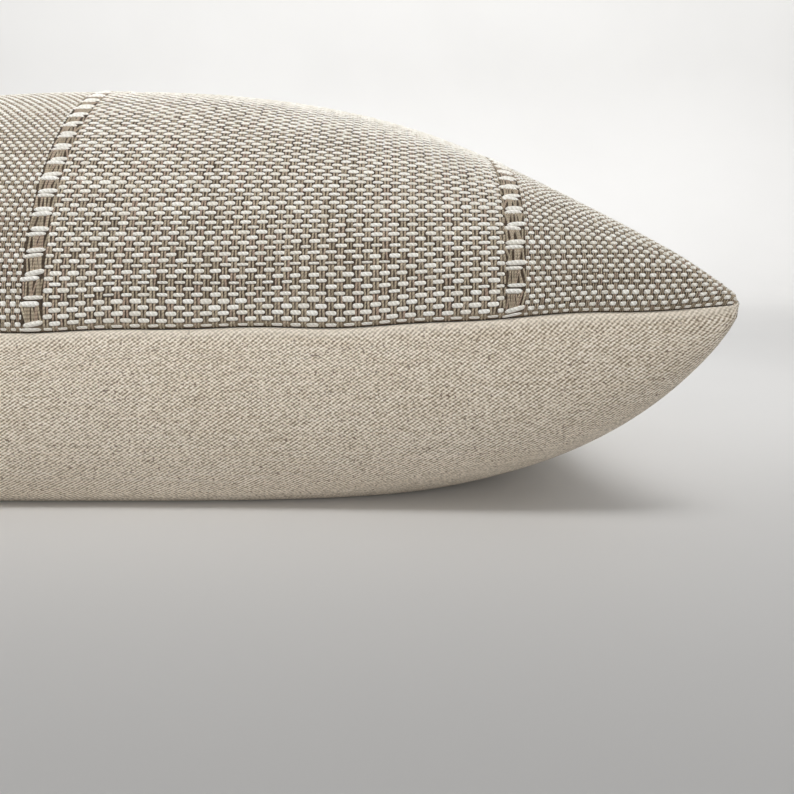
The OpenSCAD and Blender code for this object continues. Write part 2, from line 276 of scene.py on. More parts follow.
def skin(a, b, side, inset=0, thin=0):
    """Points of the pillow's skin for a, b from -1 to 1, above (1) or below (-1) the seam.

    inset and thin give the skin of something inside it: how far its seam is inside the
    cover's seam, and how far its faces are inside the cover's.
    """
    along_fill, middle_fill, end_fill = UPPER_FILL if side > 0 else LOWER_FILL
    swell_x, swell_y = UPPER_SWELL if side > 0 else LOWER_SWELL
    height = (CROWN_Z - SEAM_Z if side > 0 else BELLY_D) - thin
    along = 2 / along_fill
    across = 2 / (middle_fill + (end_fill - middle_fill) * a**2)
    sx, sy = fill_out(a, along), fill_out(b, across)
    sx, sy = sx * (1 - inset / END_MID), sy * (1 - inset / LONG_MID)
    rise_x, rise_y = rise(a, along), rise(b, across)
    long_sag = sag(LONG_R, CORNER_X * sx)
    end_sag = sag(END_R, CORNER_Y * sy)
    x = (END_MID + math.cos(END_TILT) * end_sag) * sx + swell_x * np.sin(np.pi * a) * rise_y
    y = (LONG_MID + math.cos(LONG_TILT) * long_sag) * sy + swell_y * np.sin(np.pi * b) * rise_x
    z = SEAM_Z + math.sin(LONG_TILT) * long_sag * sy**2 + math.sin(END_TILT) * end_sag * sx**2
    z = z - CORNER_LIFT * sx**2 * sy**2 + side * height * rise_x * rise_y
    if side < 0:
        z = z - thin
        rounded = (z + FLOOR_ROUND) ** 2 / (4 * FLOOR_ROUND)
        z = np.where(z >= FLOOR_ROUND, z, np.where(z <= -FLOOR_ROUND, 0, rounded)) + thin
    return np.stack([x, y, z], -1)


def spread(along, points, cut, side):
    """Moves the parameters of each line of points, so that they follow the cloth's threads.

    Spare cloth is taken up near a line's ends. Where there is too little, the weave above
    gives near the ends and the twill below gives evenly.
    """
    steps = np.linalg.norm(np.diff(points, axis=1), axis=2)
    length = np.concatenate([np.zeros((len(steps), 1)), np.cumsum(steps, 1)], 1)
    place = np.linspace(-1, 1, along.shape[1])
    shortest = WEAVE_SHORTENS if side > 0 else 1
    out = np.empty_like(along)
    for k in range(len(along)):
        total = length[k, -1]
        spare = np.clip(cut / total, shortest, CLOTH_LENGTHENS)
        share = place * spare - (spare - 1) * place * np.abs(place) ** 3
        for c in range(2):
            out[k, :, c] = np.interp((share + 1) / 2 * total, length[k], along[k, :, c])
    return out


def threaded_skin(side):
    """The skin as a grid whose lines follow the cloth's threads."""
    across = np.linspace(-1, 1, GRID_X * FINE_STEPS + 1)
    up = np.linspace(-1, 1, GRID_Y * FINE_STEPS + 1)
    ab = np.stack(np.meshgrid(across, up), -1)
    for _ in range(THREAD_PASSES):
        for cut in (CUT_L, CUT_W):
            ab = spread(ab, skin(ab[..., 0], ab[..., 1], side), cut, side)
            ab = ab.transpose(1, 0, 2)
    for _ in range(SMOOTH_PASSES):
        ab[1:-1] = (ab[:-2] + 2 * ab[1:-1] + ab[2:]) / 4
        ab[:, 1:-1] = (ab[:, :-2] + 2 * ab[:, 1:-1] + ab[:, 2:]) / 4
    coarse = ab[::FINE_STEPS, ::FINE_STEPS]
    return skin(coarse[..., 0], coarse[..., 1], side)


def two_sided(rows, columns):
    """A closed form of two grids that share their outer loop.

    Gives each grid's point numbers, which points are inside the loop, and the faces.
    """
    top_index = np.arange(rows * columns).reshape(rows, columns)
    inner = np.zeros((rows, columns), bool)
    inner[1:-1, 1:-1] = True
    bottom_index = top_index.copy()
    bottom_index[inner] = rows * columns + np.arange(inner.sum())
    quads = grid_faces(rows, columns)
    faces = np.concatenate([top_index.ravel()[quads], bottom_index.ravel()[quads][:, ::-1]])
    return top_index, bottom_index, inner, faces


def add_cloth(obj, rest_key, held):
    """Cloth that is blown out by its filling, and held where the vertex group says."""
    cloth = obj.modifiers.new("cloth", "CLOTH")
    cloth.point_cache.frame_start = 1
    cloth.point_cache.frame_end = SETTLE_FRAMES
    for key, value in CLOTH_SETTINGS.items():
        setattr(cloth.settings, key, value)
    cloth.settings.rest_shape_key = rest_key
    cloth.settings.vertex_group_mass = held.name
    cloth.settings.effector_weights.gravity = 0
    cloth.collision_settings.use_collision = False


def inflate(top, bottom):
    """Lets the cloth settle under the fill's pressure, held at its seam and on the table."""
    top_index, bottom_index, inner, faces = two_sided(*top.shape[:2])
    points = np.concatenate([top.reshape(-1, 3), bottom[inner]])
    obj = new_mesh("settling", points, faces)
    held = obj.vertex_groups.new(name="held")
    held.add(top_index[~inner].tolist(), 1.0, "REPLACE")
    resting = np.flatnonzero(points[:, 2] < NEAR_TABLE)
    held.add(resting.tolist(), 1.0, "REPLACE")
    obj.shape_key_add(name="filled")
    cut = obj.shape_key_add(name="cut")
    cut.data.foreach_set("co", (points * CLOTH_SPARE).astype(np.float32).ravel())
    add_cloth(obj, cut, held)
    for frame_number in range(1, SETTLE_FRAMES + 1):
        bpy.context.scene.frame_set(frame_number)
    settled = obj.evaluated_get(bpy.context.evaluated_depsgraph_get())
    moved = np.empty(len(points) * 3)
    settled.data.vertices.foreach_get("co", moved)
    bpy.context.scene.frame_set(1)
    bpy.data.objects.remove(obj)
    move = moved.reshape(-1, 3) - points
    distance = np.linalg.norm(move, axis=1, keepdims=True)
    points = points + move * np.minimum(1, MAX_SETTLE / np.maximum(distance, 1e-9))
    points[:, 2] = np.maximum(points[:, 2], 0)
    return points[top_index], points[bottom_index]


top_grid = threaded_skin(1)
bottom_grid = threaded_skin(-1)
top_grid, bottom_grid = inflate(top_grid, bottom_grid)


def grid_normals(grid, side):
    """Unit normals of a grid of points, pointing out of the pillow."""
    along_x = np.gradient(grid, axis=1)
    along_y = np.gradient(grid, axis=0)
    n = side * np.cross(along_x, along_y)
    return n / np.maximum(np.linalg.norm(n, axis=-1, keepdims=True), 1e-12)


def sample(grid, u, v):
    """Smooth values of a grid at cloth places u, v, in metres from the cloth's middle."""
    rows, columns = grid.shape[:2]
    x = np.clip((u / CUT_L + 0.5) * (columns - 1), 0, columns - 1)
    y = np.clip((v / CUT_W + 0.5) * (rows - 1), 0, rows - 1)
    i = np.minimum(x.astype(int), columns - 2)
    j = np.minimum(y.astype(int), rows - 2)

    def weights(t):
        """The shares of the four grid lines round a place, for a smooth (Catmull-Rom) curve."""
        return (
            -0.5 * t + t**2 - 0.5 * t**3,
            1 - 2.5 * t**2 + 1.5 * t**3,
            0.5 * t + 2 * t**2 - 1.5 * t**3,
            -0.5 * t**2 + 0.5 * t**3,
        )

    total = 0
    for m, wy in enumerate(weights(y - j)):
        row = np.clip(j + m - 1, 0, rows - 1)
        for n, wx in enumerate(weights(x - i)):
            column = np.clip(i + n - 1, 0, columns - 1)
            total = total + (wx * wy)[..., None] * grid[row, column]
    return total


def from_corner(u, v):
    """The distance on the cloth to its nearest corner."""
    return np.hypot(CUT_L / 2 - np.abs(u), CUT_W / 2 - np.abs(v))


def from_edge(u, v):
    """The distance on the cloth to its nearest edge."""
    return np.minimum(CUT_L / 2 - np.abs(u), CUT_W / 2 - np.abs(v))


class Side:
    """One of the two panels, which turns cloth places into points on the pillow."""

    def __init__(self, grid, side):
        self.grid = grid
        self.side = side
        self.normals = grid_normals(grid, side)

    def normal(self, u, v):
        """Unit normals, which swing out along the diagonal at a corner, where the cloth folds."""
        n = sample(self.normals, u, v)
        slant = np.stack([np.sign(u), np.sign(v), np.full_like(u, self.side)], -1) / math.sqrt(3)
        at_corner = smoothstep(CORNER_FOLD, 0, from_corner(u, v))[..., None]
        n = n * (1 - at_corner) + slant * at_corner
        return n / np.maximum(np.linalg.norm(n, axis=-1, keepdims=True), 1e-12)

    def at(self, u, v, lift):
        """Points at cloth places u, v, lifted off the cloth. The cloth dips in at its seam."""
        n = self.normal(u, v)
        to_edge = from_edge(u, v)
        dip = SEAM_DIP * (1 - smoothstep(0, SEAM_ROLL, to_edge)) ** 2
        dip = dip * smoothstep(0, 2 * CORNER_FOLD, from_corner(u, v))
        p = sample(self.grid, u, v) + n * (lift - dip)[..., None]
        blunt = BLUNT_TIP * smoothstep(3 * BLUNT_TIP, 0, from_corner(u, v))
        sway = np.sin((u + v) / SWAY[0]) + 0.6 * np.sin((u - v) / SWAY[1] + 1)
        sway = sway * smoothstep(SWAY_REACH, 0, to_edge) * smoothstep(0.3 * CUT_W, 0, v)
        p[..., 2] += SEAM_SWAY * sway
        p[..., 0] -= np.sign(u) * blunt
        p[..., 1] -= np.sign(v) * blunt
        near_zip = smoothstep(2 * SEAM_ROLL, 0, CUT_W / 2 - v)
        zipped = near_zip * smoothstep(ZIP_REACH + SLIT_END, ZIP_REACH, np.abs(p[..., 0]))
        gap = SEAM_GAP + (SLIT_GAP - SEAM_GAP) * zipped
        p[..., 2] += self.side * gap * smoothstep(2 * SEAM_ROLL, 0, to_edge)
        return p


front = Side(top_grid, 1)
back = Side(bottom_grid, -1)

# ---------------------------------------------------------------- materials


class Nodes:
    """A material's node tree, with short calls for the nodes it needs."""

    def __init__(self, name):
        self.material = bpy.data.materials.new(name)
        self.material.use_nodes = True
        self.tree = self.material.node_tree
        self.shader = self.tree.nodes["Principled BSDF"]

    def add(self, kind, inputs=None, **settings):
        node = self.tree.nodes.new(kind)
        for key, value in settings.items():
            setattr(node, key, value)
        for key, value in (inputs or {}).items():
            self.put(node.inputs[key], value)
        return node

    def put(self, socket, value):
        if isinstance(value, bpy.types.NodeSocket):
            self.tree.links.new(value, socket)
        else:
            socket.default_value = value

    def math(self, operation, *values):
        inputs = dict(enumerate(values))
        return self.add("ShaderNodeMath", inputs, operation=operation).outputs[0]

    def mix(self, factor, a, b):
        node = self.add("ShaderNodeMix", data_type="RGBA")
        self.put(node.inputs[0], factor)
        self.put(node.inputs[6], a)
        self.put(node.inputs[7], b)
        return node.outputs[2]

    def attribute(self, name):
        return self.add("ShaderNodeAttribute", attribute_name=name).outputs["Vector"]

    def split(self, vector):
        return self.add("ShaderNodeSeparateXYZ", {0: vector}).outputs

    def object_place(self):
        return self.add("ShaderNodeTexCoord").outputs["Object"]

    def noise(self, scale, vector=None, detail=2.0, roughness=0.5):
        vector = vector or self.object_place()
        inputs = {"Vector": vector, "Scale": scale, "Detail": detail, "Roughness": roughness}
        return self.add("ShaderNodeTexNoise", inputs).outputs[0]

    def ramp(self, value, stops):
        node = self.add("ShaderNodeValToRGB", {0: value})
        elements = node.color_ramp.elements
        while len(elements) < len(stops):
            elements.new(0.5)
        for element, (at, colour) in zip(elements, stops):
            element.position = at
            element.color = colour
        return node.outputs[0]

    def range(self, value, low, high, to_low=0.0, to_high=1.0):
        inputs = {0: value, 1: low, 2: high, 3: to_low, 4: to_high}
        return self.add("ShaderNodeMapRange", inputs, interpolation_type="SMOOTHSTEP").outputs[0]

    def scaled(self, vector, factors):
        inputs = {0: vector, 1: factors}
        return self.add("ShaderNodeVectorMath", inputs, operation="MULTIPLY").outputs[0]

    def waves(self, value, rate):
        """A sine of a value, with that many radians to each unit."""
        return self.math("SINE", self.math("MULTIPLY", value, rate))

    def lay(self, along, across, rate, lean):
        """Where a place on a yarn lies in its twist, in radians: rate along it, lean across it."""
        return self.math("ADD", self.math("MULTIPLY", along, rate), self.math("MULTIPLY", across, lean))

    def finish(self, colour, roughness, height=None, depth=0.2 * MM, sheen=0.0, metallic=0.0):
        self.put(self.shader.inputs["Base Color"], colour)
        self.put(self.shader.inputs["Roughness"], roughness)
        self.shader.inputs["Sheen Weight"].default_value = sheen
        self.shader.inputs["Sheen Roughness"].default_value = 0.6
        self.shader.inputs["Metallic"].default_value = metallic
        if height is not None:
            inputs = {"Height": height, "Distance": depth, "Strength": 1.0}
            bump = self.add("ShaderNodeBump", inputs)
            self.put(self.shader.inputs["Normal"], bump.outputs[0])
        return self.material


def rgb(code):
    """A linear colour from a hex code."""
    parts = [int(code[k : k + 2], 16) / 255 for k in (0, 2, 4)]
    linear = [c / 12.92 if c <= 0.04045 else ((c + 0.055) / 1.055) ** 2.4 for c in parts]
    return (*linear, 1.0)


def weft_material():
    """Off-white slub yarn, with painted shade along each float's edges, in the grooves of its twist and
    between its strands. yarn holds the place along and across the float, and its tone.
    """
    m = Nodes("weft_yarn")
    twist_rate, twist_lean = 4200, 3.2
    strand_scales = (1300, 2.6, 7)
    strand_drift = 5
    along, across, tone = m.split(m.attribute("yarn"))
    lay = m.lay(along, across, twist_rate, twist_lean)
    strands = m.noise(1.0, m.scaled(m.attribute("yarn"), strand_scales), detail=2)
    twist = m.math("SINE", m.math("ADD", lay, m.math("MULTIPLY", strands, strand_drift)))
    colour = m.ramp(tone, [(0.0, rgb("ece7dc")), (0.5, rgb("f7f3ea")), (1.0, rgb("fdfbf5"))])
    # painted shade: darker in the grooves of the twist
    colour = m.mix(m.range(twist, -1.0, -0.2, 0.3, 0.0), colour, rgb("b5ad9d"))
    # painted shade: darker between the strands
    colour = m.mix(m.range(strands, 0.3, 0.5, 0.28, 0.0), colour, rgb("aba291"))
    # painted shade: the float darkens towards its edges, where it rounds down
    side = m.math("ABSOLUTE", across)
    colour = m.mix(m.range(side, 0.7, 1.0, 0.0, 0.45), colour, rgb("a39a88"))
    height = m.math("ADD", m.math("MULTIPLY", twist, 0.4), strands)
    return m.finish(colour, 1.0, height, 0.2 * MM, sheen=0.05)


def warp_material():
    """Taupe two-ply warp, with olive and rosy threads among it, and painted shade in the grooves of its
    twist.
    """
    m = Nodes("warp_yarn")
    twist_rate, twist_lean = 5200, 2.4
    along, across, tone = m.split(m.attribute("yarn"))
    colour = m.ramp(
        tone,
        [
            (0.0, rgb("93866f")),
            (0.3, rgb("ab9d87")),
            (0.6, rgb("b9ab93")),
            (0.8, rgb("ac9583")),
            (1.0, rgb("c9bca4")),
        ],
    )
    twist = m.math("SINE", m.lay(along, across, twist_rate, twist_lean))
    # painted shade: dark brown in the grooves of the twist
    colour = m.mix(m.range(twist, -0.9, 0.6, 0.42, 0.0), colour, rgb("63574a"))
    fibre = m.noise(6000, detail=3)
    colour = m.mix(m.range(fibre, 0.5, 0.8, 0.0, 0.35), colour, rgb("cdbf9f"))
    height = m.math("ADD", twist, m.math("MULTIPLY", fibre, 0.7))
    return m.finish(colour, 0.95, height, 0.1 * MM, sheen=0.08)


def ground_with_painted_shade_material():
    """Painted shade under the weave: a dark sheet for the shade in its holes, a painted shadow line at
    the seam, and the bare cloth where it rolls in to the seam.
    """
    m = Nodes("front_ground_with_painted_shade")
    _, _, to_edge = m.split(m.attribute("cloth"))
    mottle = m.noise(900)
    # painted shade: dark brown for the shade seen through the weave's holes
    hole_shade = m.mix(m.range(mottle, 0.35, 0.65), rgb("3a3025"), rgb("54473a"))
    rolled = m.mix(m.range(mottle, 0.35, 0.65), rgb("7b6d59"), rgb("9a8b74"))
    colour = m.mix(m.range(to_edge, 0.5, 1.2), rolled, hole_shade)
    # painted shadow: the darkest brown where the cloth turns in at the seam and over the allowance
    colour = m.mix(m.range(to_edge, 0.12, 0.6), rgb("2b2119"), colour)
    return m.finish(colour, 1.0, mottle, 0.3 * MM)


def twill_material():
    """Natural twill: cream dashes strung on diagonals, grey-brown between, with dark seeds, and a
    painted highlight on the strip that rolls up to the seam, where the pattern also softens.
    """
    m = Nodes("back_twill")
    ridge_share, bead_share = 0.68, 0.32
    cloth = m.attribute("cloth")
    u, v, to_edge = m.split(cloth)
    unevenness = m.math("SUBTRACT", m.noise(1.0, m.scaled(cloth, (70, 70, 1))), 0.5)
    drift = m.math("MULTIPLY", unevenness, 0.7)
    end = m.math("ADD", m.math("DIVIDE", u, TWILL_X), drift)
    pick = m.math("DIVIDE", v, TWILL_Y)
    turn = 2 * math.pi
    ridge = m.math("COSINE", m.math("MULTIPLY", m.math("ADD", end, pick), turn))
    bead = m.math("COSINE", m.math("MULTIPLY", m.math("SUBTRACT", end, pick), turn))
    ridge = m.math("MULTIPLY", ridge, ridge_share)
    weave = m.math("ADD", ridge, m.math("MULTIPLY", bead, bead_share))
    uneven = m.noise(1.0, m.scaled(cloth, (950, 1300, 1)), detail=1)
    weave = m.math("ADD", weave, m.range(uneven, 0.3, 0.7, -0.45, 0.45))
    yarn_tone = m.noise(1.0, m.scaled(cloth, (60, 1500, 1)), detail=1)
    light = m.mix(m.range(yarn_tone, 0.35, 0.7), rgb("faf1e4"), rgb("ecdfcd"))
    middle = m.mix(m.range(m.noise(24, detail=3), 0.3, 0.7), rgb("cdbfaa"), rgb("d5c8b5"))
    dark = m.mix(m.range(yarn_tone, 0.35, 0.7), rgb("8f826c"), rgb("7d6f5a"))
    colour = m.mix(m.range(weave, -0.9, 0.05), dark, middle)
    colour = m.mix(m.range(weave, -0.05, 0.8), colour, light)
    seeds = m.noise(1.0, m.scaled(cloth, (820, 1100, 1)), detail=0)
    colour = m.mix(m.range(seeds, 0.74, 0.79, 0.0, 0.75), colour, rgb("5e4634"))
    # painted highlight: the strip that rolls up to the seam is lightened, and the twill's pattern
    # softens towards plain cream there
    colour = m.mix(m.range(to_edge, 0.2, 1.6, 0.6, 0.0), colour, rgb("e9dfcf"))
    height = m.math("ADD", weave, m.math("MULTIPLY", yarn_tone, 0.3))
    return m.finish(colour, 0.93, height, 0.1 * MM, sheen=0.1)


def plain_cloth_material(name, light, dark, pitch):
    """Fine plain-woven cloth, for the insert, the tapes and the labels."""
    m = Nodes(name)
    x, y, z = m.split(m.object_place())
    turn = 2 * math.pi / pitch
    weave = m.math("MULTIPLY", m.waves(x, turn), m.waves(m.math("ADD", y, z), turn))
    colour = m.mix(m.range(weave, -0.6, 0.6), rgb(dark), rgb(light))
    colour = m.mix(m.range(m.noise(300, detail=3), 0.4, 0.7, 0.0, 0.3), colour, rgb(dark))
    return m.finish(colour, 0.95, weave, 0.08 * MM, sheen=0.05)


def thread_material():
    """Spun sewing thread, with its twist."""
    m = Nodes("sewing_thread")
    twist_rate = 6000
    x, y, z = m.split(m.object_place())
    twist = m.waves(m.math("ADD", m.math("ADD", x, y), z), twist_rate)
    colour = m.mix(m.range(twist, -1, 1), rgb("b9ae99"), rgb("e6dfd0"))
    return m.finish(colour, 0.8, twist, 0.06 * MM, sheen=0.1)


def fill_material():
    """Loose white fibre."""
    m = Nodes("fill_fibre")
    strands = m.noise(240, detail=6, roughness=0.7)
    colour = m.mix(m.range(strands, 0.3, 0.7), rgb("d9d8d4"), rgb("f4f4f2"))
    return m.finish(colour, 1.0, strands, 2 * MM, sheen=0.3)


def coil_material():
    """Moulded nylon, slightly glossy."""
    m = Nodes("zip_nylon")
    tone = m.noise(500, detail=2)
    colour = m.mix(m.range(tone, 0.3, 0.7), rgb("cfc4ac"), rgb("ddd3bd"))
    roughness = m.range(tone, 0.3, 0.7, 0.32, 0.42)
    return m.finish(colour, roughness, tone, 0.03 * MM)


def lacquer_material():
    """Lacquered zip metal, rubbed in patches."""
    m = Nodes("zip_lacquer")
    worn = m.noise(900, detail=4)
    colour = m.mix(m.range(worn, 0.58, 0.72), rgb("c9bda4"), rgb("a79d8a"))
    roughness = m.range(worn, 0.4, 0.7, 0.34, 0.5)
    return m.finish(colour, roughness, m.noise(2400), 0.02 * MM, metallic=0.25)


def stage_material():
    """The table and the wall behind it, as one pale sweep."""
    m = Nodes("pale_table")
    mottle = m.noise(3.0, detail=3)
    colour = m.mix(m.range(mottle, 0.3, 0.7), rgb("d9d8d6"), rgb("dcdbd9"))
    return m.finish(colour, 0.75)


# ---------------------------------------------------------------- cloth panels

PANEL_STEP = 2.5 * MM

# How far the allowance stands off the seam's plane: plainly, over the coil and over the tape
OVER_SEAM = 0.3 * MM
OVER_COIL = 3.0 * MM
OVER_TAPE = 2.2 * MM


def panel_grid(panel):
    """A grid of one panel's cloth places and points, closer together where it rolls in."""
    columns = round(CUT_L / PANEL_STEP)
    rows = round(CUT_W / PANEL_STEP)
    edge = np.array([0, 0.25, 0.5, 0.75]) * SEAM_ROLL
    u = np.linspace(-CUT_L / 2 + SEAM_ROLL, CUT_L / 2 - SEAM_ROLL, columns - 1)
    v = np.linspace(-CUT_W / 2 + SEAM_ROLL, CUT_W / 2 - SEAM_ROLL, rows - 1)
    u = np.concatenate([-CUT_L / 2 + edge, u, CUT_L / 2 - edge[::-1]])
    v = np.concatenate([-CUT_W / 2 + edge, v, CUT_W / 2 - edge[::-1]])
    uu, vv = np.meshgrid(u, v)
    points = panel.at(uu, vv, np.full(uu.shape, -0.5 * CLOTH_T))
    return uu, vv, points


def hem_ring(points):
    """The outer loop of a grid of points, in order."""
    return np.concatenate([points[0, :-1], points[:-1, -1], points[-1, :0:-1], points[:0:-1, 0]])


def into_cover(loop):
    """Level unit directions from points on the outer loop to the inside of the cover."""
    inward = -loop * [1, 1, 0]
    inward[:, 0] *= (np.abs(loop[:, 0]) / CORNER_X) ** 6
    inward[:, 1] *= (np.abs(loop[:, 1]) / CORNER_Y) ** 2
    return inward / np.linalg.norm(inward, axis=1, keepdims=True)


def allowance_ring(loop, share, side):
    """The seam allowance at a share of its depth. Beside the zip it stands clear of the coil."""
    zipped = (loop[:, 1] > 0.6 * CORNER_Y) & (np.abs(loop[:, 0]) < ZIP_REACH)
    reach = ALLOWANCE * share
    ring = loop + into_cover(loop) * reach * math.cos(LONG_TILT)
    ring[:, 2] -= reach * math.sin(LONG_TILT)
    stand = np.where(zipped, OVER_COIL * smoothstep(0.1, 0.3, share), OVER_SEAM)
    stand = np.where(zipped & (share > 0.65), OVER_TAPE, stand)
    ring[:, 2] += side * stand
    return ring


def cloth_panel(name, panel, material):
    """A whole panel with its seam allowance, as one sheet with thickness.

    Its cloth attribute holds each point's place on the cloth, and its distance from the edge
    as a share of the reach over which the edge rolls in.
    """
    uu, vv, points = panel_grid(panel)
    rows, columns = uu.shape
    cloth = np.stack([uu, vv, from_edge(uu, vv) / SEAM_ROLL], -1)
    index = np.arange(rows * columns).reshape(rows, columns)
    faces = [grid_faces(rows, columns)]
    loop = hem_ring(points)
    all_points = [points.reshape(-1, 3)]
    all_cloth = [cloth.reshape(-1, 3)]
    last = hem_ring(index)
    start = rows * columns
    for share in (0.12, 0.4, 0.7, 1.0):
        here = start + np.arange(len(loop))
        faces.append(np.stack([last, here, np.roll(here, -1), np.roll(last, -1)], 1))
        all_points.append(allowance_ring(loop, share, panel.side))
        all_cloth.append(hem_ring(cloth))
        last, start = here, start + len(loop)
    faces = np.concatenate(faces)
    if panel.side < 0:
        faces = faces[:, ::-1]
    obj = new_mesh(name, np.concatenate(all_points), faces)
    set_vectors(obj, "cloth", np.concatenate(all_cloth))
    obj.data.materials.append(material)
    bpy.context.view_layer.objects.active = obj
    solid = obj.modifiers.new("thickness", "SOLIDIFY")
    solid.thickness = CLOTH_T
    solid.offset = 0
    bpy.ops.object.modifier_apply(modifier=solid.name)
    return obj


front_base = cloth_panel("front_cloth", front, ground_with_painted_shade_material())
back_base = cloth_panel("back_cloth", back, twill_material())

# ---------------------------------------------------------------- the woven front


def row_noise(count, places, spread, seed):
    """Smooth random values along each of count rows, which turn about once every spread metres.

    places holds the rows and the places along them that values are wanted for.
    """
    random = np.random.default_rng(seed)
    knots = random.standard_normal((count, int(CUT_L / spread) + 3))
    at = (places[1] + CUT_L / 2) / spread
    k = np.clip(at.astype(int), 0, knots.shape[1] - 2)
    t = at - k
    t = t * t * (3 - 2 * t)
    return knots[places[0], k] * (1 - t) + knots[places[0], k + 1] * t


def row_place(row):
    """How far a row lies from the middle of the cloth."""
    return ROW_START + row * ROW


def yarn_strips(u0, v0, u1, v1, width, height, tone, across, along, shape, sink, flat):
    """Half-round lengths of yarn from (u0, v0) to (u1, v1) on the front cloth, all at once.

    across and along are how many points each has, shape gives its width share along its length,
    sink is how far its ends go down, and flat is 2 for a round yarn and more for a pressed one.
    """
    n = len(u0)
    t = np.linspace(0, 1, along)
    w = np.linspace(-1, 1, across)
    du, dv = u1 - u0, v1 - v0
    length = np.hypot(du, dv)
    side_u, side_v = -dv / length, du / length
    profile = shape(t)
    arch = np.sin(np.pi * t) ** 0.5
    round_w = np.maximum(0, 1 - np.abs(w) ** flat) ** 0.5
    half = 0.5 * width[:, None, None] * profile[None, :, None] * w[None, None, :]
    u = u0[:, None, None] + du[:, None, None] * t[None, :, None] + side_u[:, None, None] * half
    v = v0[:, None, None] + dv[:, None, None] * t[None, :, None] + side_v[:, None, None] * half
    lift = height[:, None, None] * (arch[None, :, None] * 0.55 + 0.45) * round_w[None, None, :]
    lift = lift - sink * (1 - arch[None, :, None]) - YARN_BED
    points = front.at(u, v, lift)
    yarn = np.stack(
        [
            np.broadcast_to(length[:, None, None] * t[None, :, None], u.shape),
            np.broadcast_to(w[None, None, :], u.shape),
            np.broadcast_to(tone[:, None, None], u.shape),
        ],
        -1,
    )
    quads = grid_faces(along, across)
    faces = (quads[None] + (np.arange(n) * along * across)[:, None, None]).reshape(-1, 4)
    return points.reshape(-1, 3), faces, yarn.reshape(-1, 3)


def float_shape(t):
    """A float keeps its width for most of its length and rounds off at its ends."""
    return np.maximum(0.5, (1 - np.abs(2 * t - 1) ** 8) ** 0.5)


def warp_shape(t):
    """A warp is squeezed in its middle, where it lies open, and full where weft covers it."""
    return 0.82 + 0.18 * np.cos(2 * np.pi * t)


# How each kind of yarn is drawn, for yarn_strips
WEFT = {"across": 7, "along": 7, "shape": float_shape, "sink": 0.35 * MM, "flat": 3.5}
WARP = {"across": 4, "along": 6, "shape": warp_shape, "sink": 0.5 * MM, "flat": 2}
LADDER_WEFT = {"across": 6, "along": 9, "shape": float_shape, "sink": 0.3 * MM, "flat": 3}
LADDER_WARP = {"across": 4, "along": 7, "shape": warp_shape, "sink": 0.35 * MM, "flat": 2}


def join(name, parts, material):
    """One object from several lots of points, faces and yarn values."""
    points, faces, yarn, start = [], [], [], 0
    for p, f, y in parts:
        points.append(p)
        faces.append(f + start)
        yarn.append(y)
        start += len(p)
    obj = new_mesh(name, np.concatenate(points), np.concatenate(faces))
    set_vectors(obj, "yarn", np.concatenate(yarn))
    obj.data.materials.append(material)
    return obj


def weft_width(row, u):
    """How thick the weft is at a place along a row: slubs come and go along each yarn."""
    slow = row_noise(ROWS + 1, (row, u), 45 * MM, 11)
    quick = row_noise(ROWS + 1, (row, u), 9 * MM, 12)
    slub = np.maximum(0, row_noise(ROWS + 1, (row, u), 16 * MM, 13) - 1.3)
    share = 0.74 + 0.07 * row_noise(ROWS + 1, (row, 0 * u), CUT_L, 15)
    share = share + 0.05 * slow + 0.04 * quick + 0.2 * slub
    return ROW * np.clip(share, 0.42, 0.98)


def wander(row, u):
    """How far a row strays from its straight place."""
    return 0.05 * ROW * row_noise(ROWS + 1, (row, u), 30 * MM, 14)


def band_places(left, right, repeat, phase):
    """The row and the middle of every float in a band. Each row is half a repeat on."""
    rows, middles = [], []
    for row in range(ROWS):
        offset = phase + (0.5 * repeat if row % 2 else 0.0)
        first = math.ceil((left - offset) / repeat - 0.5)
        last = math.floor((right - offset) / repeat + 0.5)
        at = offset + repeat * np.arange(first, last + 1)
        rows.append(np.full(len(at), row))
        middles.append(at)
    return np.concatenate(rows), np.concatenate(middles)


def band_weft(left, right, repeat, share, phase, seed):
    """Every weft float of a band, as one lot of yarn."""
    random = np.random.default_rng(seed)
    row, middle = band_places(left, right, repeat, phase)
    length = repeat * share * (1 + LENGTH_SCATTER * random.standard_normal(len(row)))
    middle = middle + PLACE_SCATTER * repeat * random.standard_normal(len(row))
    u0 = np.maximum(middle - length / 2, left)
    u1 = np.minimum(middle + length / 2, right)
    keep = u1 - u0 > 0.16 * repeat
    row, u0, u1 = row[keep], u0[keep], u1[keep]
    v = row_place(row)
    v0 = v + wander(row, u0) + PLACE_SCATTER * ROW * random.standard_normal(len(row))
    v1 = v + wander(row, u1) + PLACE_SCATTER * ROW * random.standard_normal(len(row))
    width = weft_width(row, (u0 + u1) / 2)
    height = 0.2 * width + 0.3 * MM
    tone = np.clip(0.55 + 0.25 * random.standard_normal(len(row)), 0, 1)
    return yarn_strips(u0, v0, u1, v1, width, height, tone, **WEFT)


